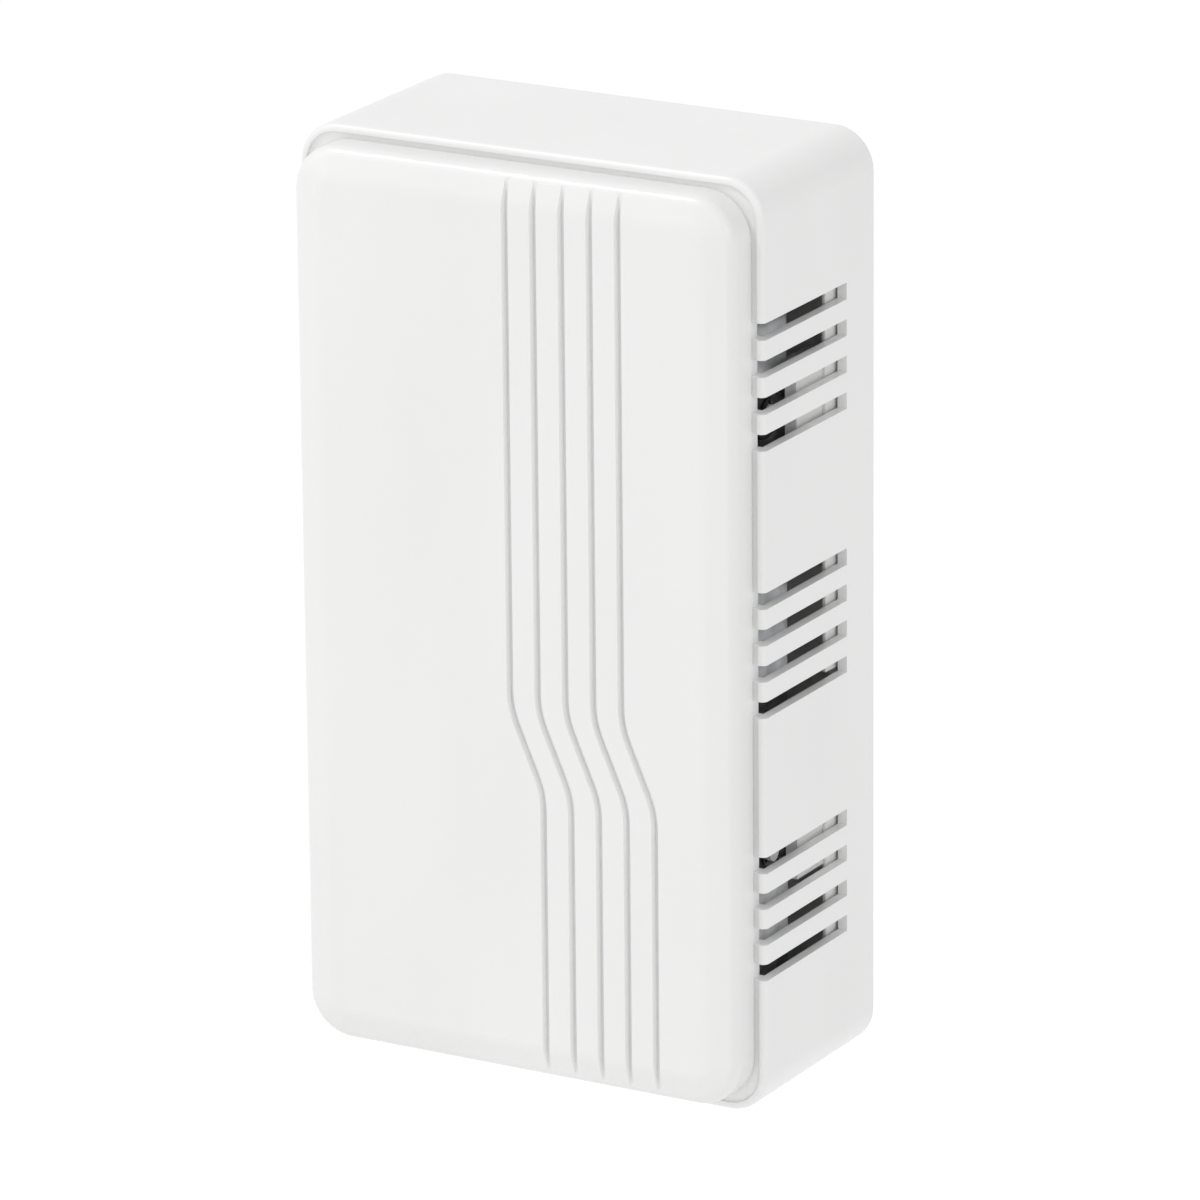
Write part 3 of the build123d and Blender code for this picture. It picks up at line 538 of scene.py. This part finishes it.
class CHIME_OT_mechanism(Operator):
    """Finish the tone plates, the solenoid, the plunger and the small parts"""

    bl_idname = "chime.mechanism"
    bl_label = "Mechanism"

    def execute(self, context):
        plastics = context.scene.chime_plastics
        metals = context.scene.chime_metals
        zinc = plated_steel("zinc_steel", metals.zinc_colour, roughness=0.34)
        screws = bare_metal("screw_steel", metals.screw_colour, roughness=0.26)
        clips = bare_metal("clip_black", metals.black_steel_colour, roughness=0.4)
        brass = bare_metal("brass_plain", metals.brass_colour, roughness=0.28)
        rubber = black_rubber("rubber_black", plastics.rubber_colour)
        bobbin = moulded_plastic("bobbin_black", plastics.bobbin_colour, plastics, roughness=0.38)
        terminal = moulded_plastic("terminal_grey", plastics.terminal_colour, plastics,
                                   roughness=0.45)
        nylon = moulded_plastic("nylon_natural", plastics.nylon_colour, plastics, roughness=0.36)
        for name in ("tone_plate_low", "tone_plate_high", "solenoid_yoke"):
            dress(name, zinc, metals.edge_radius)
        for name in HANGERS + ("cable_seal",):
            dress(name, rubber, plastics.rubber_edge)
        for name in ("yoke_screws", "block_screw", "terminal_screws", "spring_washer",
                     "plunger_core"):
            dress(name, screws, metals.edge_radius)
        for name in ("guide_tube", "terminal_clamps", "coil_pins"):
            dress(name, brass, metals.thin_edge)
        for name in ("peg_clips", "panel_clips"):
            dress(name, clips, metals.thin_edge)
        for name in ("striker_left", "striker_right"):
            dress(name, nylon, plastics.striker_edge, STRIKER_SEGMENTS)
        dress("coil_bobbin", bobbin, plastics.edge_radius)
        dress("terminal_block", terminal, plastics.edge_radius)
        return {"FINISHED"}


class CHIME_OT_spring(Operator):
    """Wind the return spring, with close coils at both ends"""

    bl_idname = "chime.spring"
    bl_label = "Return spring"

    steps: IntProperty(
        name="Steps", description="Pieces of wire in a quarter turn", min=4, default=14)
    sides: IntProperty(
        name="Sides", description="Flat sides of the round wire", min=6, default=14)

    def execute(self, context):
        metals = context.scene.chime_metals
        radius = metals.spring_wire / 2
        centre, length, outer_radius = axis_of("return_spring")
        start = centre + Vector((radius, 0, outer_radius - radius))
        travel = (length - 2 * radius) / sum(SPRING_QUARTERS)
        bm = bmesh.new()
        section = wire_section(bm, radius, self.sides, start, Vector((0, -1, 0)))
        for share in SPRING_QUARTERS:
            section = wind(bm, section, centre, FULL_TURN / 4, self.steps, 4 * travel * share)
        close_ends(bm)
        steel = bare_metal("spring_steel", metals.spring_colour, roughness=0.3)
        spring = new_piece("return_spring_wire", bm, steel, "return_spring")
        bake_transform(spring)
        return {"FINISHED"}


class CHIME_OT_coil(Operator):
    """Wind the coil's copper wire and wrap it in film tape"""

    bl_idname = "chime.coil"
    bl_label = "Coil winding and tape"

    sides: IntProperty(
        name="Sides", description="Flat sides of the outer half of the wire", min=2, default=4)
    lap_angle: FloatProperty(
        name="Lap", description="Angle that the tape's last wrap covers",
        unit="ROTATION", subtype="ANGLE", default=math.radians(300))

    def execute(self, context):
        metals = context.scene.chime_metals
        plastics = context.scene.chime_plastics
        self.wind_wire(metals)
        self.wrap_tape(plastics)
        return {"FINISHED"}

    def wind_wire(self, metals):
        """The wound body, turned from an outline that is a row of wires side by side."""
        centre, length, outer_radius = axis_of("coil_winding")
        turns = int(length / metals.wire_diameter)
        wire_radius = length / turns / 2
        body_radius = outer_radius - wire_radius
        bm = bmesh.new()
        start = bm.verts.new(centre + Vector((0, 0, body_radius)))
        row_end = [start]
        for turn in range(turns):
            middle = centre + Vector((wire_radius * (2 * turn + 1), 0, body_radius))
            row_end = bmesh.ops.spin(bm, geom=row_end, cent=middle, axis=Y_AXIS, dvec=(0, 0, 0),
                                     angle=math.pi, steps=self.sides, use_merge=False)["geom_last"]
        inner = [bm.verts.new(centre + Vector((along, 0, body_radius - WINDING_BUILD)))
                 for along in (length, 0)]
        for pair in zip(row_end + inner, inner + [start]):
            bm.edges.new(pair)
        bmesh.ops.spin(bm, geom=list(bm.verts) + list(bm.edges), cent=centre, axis=X_AXIS,
                       dvec=(0, 0, 0), angle=FULL_TURN, steps=TURNING_STEPS, use_merge=True)
        copper = bare_metal("copper_wire", metals.copper_colour, roughness=0.25)
        winding = new_piece("coil_winding_wire", bm, copper, "coil_winding")
        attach(winding, "base")

    def wrap_tape(self, plastics):
        """A full wrap of tape and the last wrap over it, whose cut end shows."""
        centre, length, outer_radius = axis_of("coil_tape")
        inner_radius = outer_radius - TAPE_BUILD
        lap_radius = outer_radius - TAPE_FILM
        bm = bmesh.new()
        turned_ring(bm, ((0, inner_radius), (length, inner_radius), (length, lap_radius),
                         (0, lap_radius)), centre)
        turned_ring(bm, ((TAPE_SIDE_GAP, lap_radius), (length, lap_radius),
                         (length, outer_radius), (TAPE_SIDE_GAP, outer_radius)), centre,
                    self.lap_angle)
        close_ends(bm)
        film = film_tape("tape_amber", plastics.tape_colour, plastics.tape_cover)
        tape = new_piece("coil_tape_wraps", bm, film, "coil_tape")
        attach(tape, "base")


class CHIME_OT_leads(Operator):
    """Draw the coil's two insulated leads and solder them to their pins"""

    bl_idname = "chime.leads"
    bl_label = "Coil leads"

    sides: IntProperty(
        name="Sides", description="Flat sides of the round insulation", min=8, default=24)

    def execute(self, context):
        insulation = soft_insulation("lead_red", context.scene.chime_plastics.lead_colour)
        tin = bare_metal("solder_tin", context.scene.chime_metals.solder_colour, roughness=0.36)
        copper = bpy.data.materials["copper_wire"]
        beads = bmesh.new()
        for side, side_name in zip((-1, 1), SIDES):
            route = [Vector((side * x, y, z)) for x, y, z in LEAD_ROUTE]
            start = route[0].copy()
            route[0] = start + Vector((0, 0, -LEAD_STRIP))
            bm = bmesh.new()
            draw_tube(bm, LEAD_RADIUS, self.sides, route, LEAD_BENDS)
            close_ends(bm)
            lead = new_piece("coil_lead_" + side_name + "_pvc", bm, insulation,
                             "coil_lead_" + side_name)
            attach(lead, "base")
            strand = bmesh.new()
            draw_tube(strand, CONDUCTOR_RADIUS, CONDUCTOR_SIDES,
                      [start, route[0] + Vector((0, 0, -LEAD_STRIP))], ())
            close_ends(strand)
            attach(new_piece("coil_lead_" + side_name + "_end", strand, copper),
                    "base")
            bmesh.ops.create_icosphere(
                beads, subdivisions=3, radius=SOLDER_RADIUS,
                matrix=Matrix.Translation(start) @ Matrix.Diagonal(SOLDER_STRETCH))
        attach(new_piece("solder_beads", beads, tin), "base")
        return {"FINISHED"}


def aim_camera(studio):
    """Camera of the photograph: turned, raised, rolled and set back from its aim point."""
    turn, rise = studio.azimuth, studio.elevation
    back = Vector((math.sin(turn) * math.cos(rise), -math.cos(turn) * math.cos(rise),
                   math.sin(rise)))
    level_right = Vector((math.cos(turn), math.sin(turn), 0))
    level_up = back.cross(level_right)
    right = level_right * math.cos(studio.roll) + level_up * math.sin(studio.roll)
    up = level_up * math.cos(studio.roll) - level_right * math.sin(studio.roll)
    aim = level_right * studio.aim_side + Vector((0, 0, studio.aim_height))
    camera = bpy.data.objects.new("camera", bpy.data.cameras.new("camera"))
    camera.data.lens = studio.lens
    camera.data.clip_end = CAMERA_REACH
    axes = Matrix((right, up, back)).transposed().to_4x4()
    camera.matrix_world = Matrix.Translation(aim + back * studio.distance) @ axes
    bpy.context.scene.collection.objects.link(camera)
    bpy.context.scene.camera = camera


def area_lamp(name, position, size, power):
    """Large soft lamp that faces the chime."""
    lamp = bpy.data.lights.new(name, "AREA")
    lamp.shape = "DISK"
    lamp.size = size
    lamp.energy = power
    holder = bpy.data.objects.new(name, lamp)
    holder.location = position
    holder.rotation_euler = (-Vector(position)).to_track_quat("-Z", "Y").to_euler()
    bpy.context.scene.collection.objects.link(holder)


def seen_ray(tree):
    """1 on rays that show the background: camera, glossy and transmission rays."""
    path = tree.nodes.new("ShaderNodeLightPath")
    total = path.outputs["Is Camera Ray"]
    for name in ("Is Glossy Ray", "Is Transmission Ray"):
        either = tree.nodes.new("ShaderNodeMath")
        either.operation = "MAXIMUM"
        tree.links.new(total, either.inputs[0])
        tree.links.new(path.outputs[name], either.inputs[1])
        total = either.outputs["Value"]
    return total


def light_the_world(ambient):
    """Even white surroundings that light the chime gently and show as plain white."""
    world = bpy.data.worlds.new("studio")
    world.use_nodes = True
    tree = world.node_tree
    background = tree.nodes["Background"]
    background.inputs["Color"].default_value = (1, 1, 1, 1)
    strength = tree.nodes.new("ShaderNodeMapRange")
    strength.inputs["To Min"].default_value = ambient
    strength.inputs["To Max"].default_value = 1.0
    tree.links.new(seen_ray(tree), strength.inputs["Value"])
    tree.links.new(strength.outputs["Result"], background.inputs["Strength"])
    bpy.context.scene.world = world


def make_floor(height):
    """Pale round floor that keeps the chime's soft shadow."""
    bm = bmesh.new()
    bmesh.ops.create_circle(bm, cap_ends=True, segments=FLOOR_SIDES, radius=FLOOR_RADIUS,
                            matrix=Matrix.Translation((0, 0, height)))
    mesh = bpy.data.meshes.new("floor")
    bm.to_mesh(mesh)
    bm.free()
    floor = bpy.data.objects.new("floor", mesh)
    bpy.context.scene.collection.objects.link(floor)
    material, tree, shader = new_material("floor_paint")
    mottle = noise(tree, place(tree), width=0.15, detail=3.0)
    tree.links.new(shade(tree, mottle, FLOOR_COLOUR, low=0.995, high=1.005),
                   shader.inputs["Base Color"])
    shader.inputs["Roughness"].default_value = 0.9
    shader.inputs["Specular IOR Level"].default_value = 0.0
    shader.inputs["Emission Color"].default_value = (1, 1, 1, 1)
    lift = tree.nodes.new("ShaderNodeMapRange")
    lift.inputs["To Max"].default_value = FLOOR_LIFT
    tree.links.new(seen_ray(tree), lift.inputs["Value"])
    tree.links.new(lift.outputs["Result"], shader.inputs["Emission Strength"])
    mesh.materials.append(material)


class CHIME_OT_studio(Operator):
    """Set up the camera, the lamps, the surroundings and the floor"""

    bl_idname = "chime.studio"
    bl_label = "Studio"

    def execute(self, context):
        studio = context.scene.chime_studio
        context.scene.view_settings.view_transform = "Standard"
        aim_camera(studio)
        light_the_world(studio.ambient)
        area_lamp("overhead_lamp", OVERHEAD_PLACE, size=0.7, power=studio.overhead_power)
        area_lamp("left_lamp", LEFT_PLACE, size=3.2, power=studio.left_power)
        area_lamp("fill_lamp", FILL_PLACE, size=2.8, power=studio.fill_power)
        make_floor(cad_bounds[0].z - studio.floor_drop)
        return {"FINISHED"}


class CHIME_PT_sidebar(Panel):
    """Steps that dress the chime, in order"""

    bl_idname = "CHIME_PT_sidebar"
    bl_label = "Doorbell chime"
    bl_space_type = "VIEW_3D"
    bl_region_type = "UI"
    bl_category = SIDEBAR_TAB

    def draw(self, context):
        for step in STEPS:
            self.layout.operator(step.bl_idname)


STEPS = (CHIME_OT_studio, CHIME_OT_case, CHIME_OT_ribs, CHIME_OT_mechanism, CHIME_OT_spring,
         CHIME_OT_coil, CHIME_OT_leads)
GROUPS = {"chime_plastics": ChimePlastics, "chime_metals": ChimeMetals,
          "chime_studio": ChimeStudio}


def register():
    for group in GROUPS.values():
        bpy.utils.register_class(group)
    for name, group in GROUPS.items():
        setattr(bpy.types.Scene, name, PointerProperty(type=group))
    for step in STEPS + (CHIME_PT_sidebar,):
        bpy.utils.register_class(step)


def unregister():
    for step in STEPS + (CHIME_PT_sidebar,):
        bpy.utils.unregister_class(step)
    for name, group in GROUPS.items():
        delattr(bpy.types.Scene, name)
        bpy.utils.unregister_class(group)


def main():
    """Dresses the whole chime."""
    register()
    bpy.ops.chime.studio()
    bpy.ops.chime.case()
    bpy.ops.chime.ribs()
    bpy.ops.chime.mechanism()
    bpy.ops.chime.spring()
    bpy.ops.chime.coil()
    bpy.ops.chime.leads()


if __name__ == "__main__":
    main()
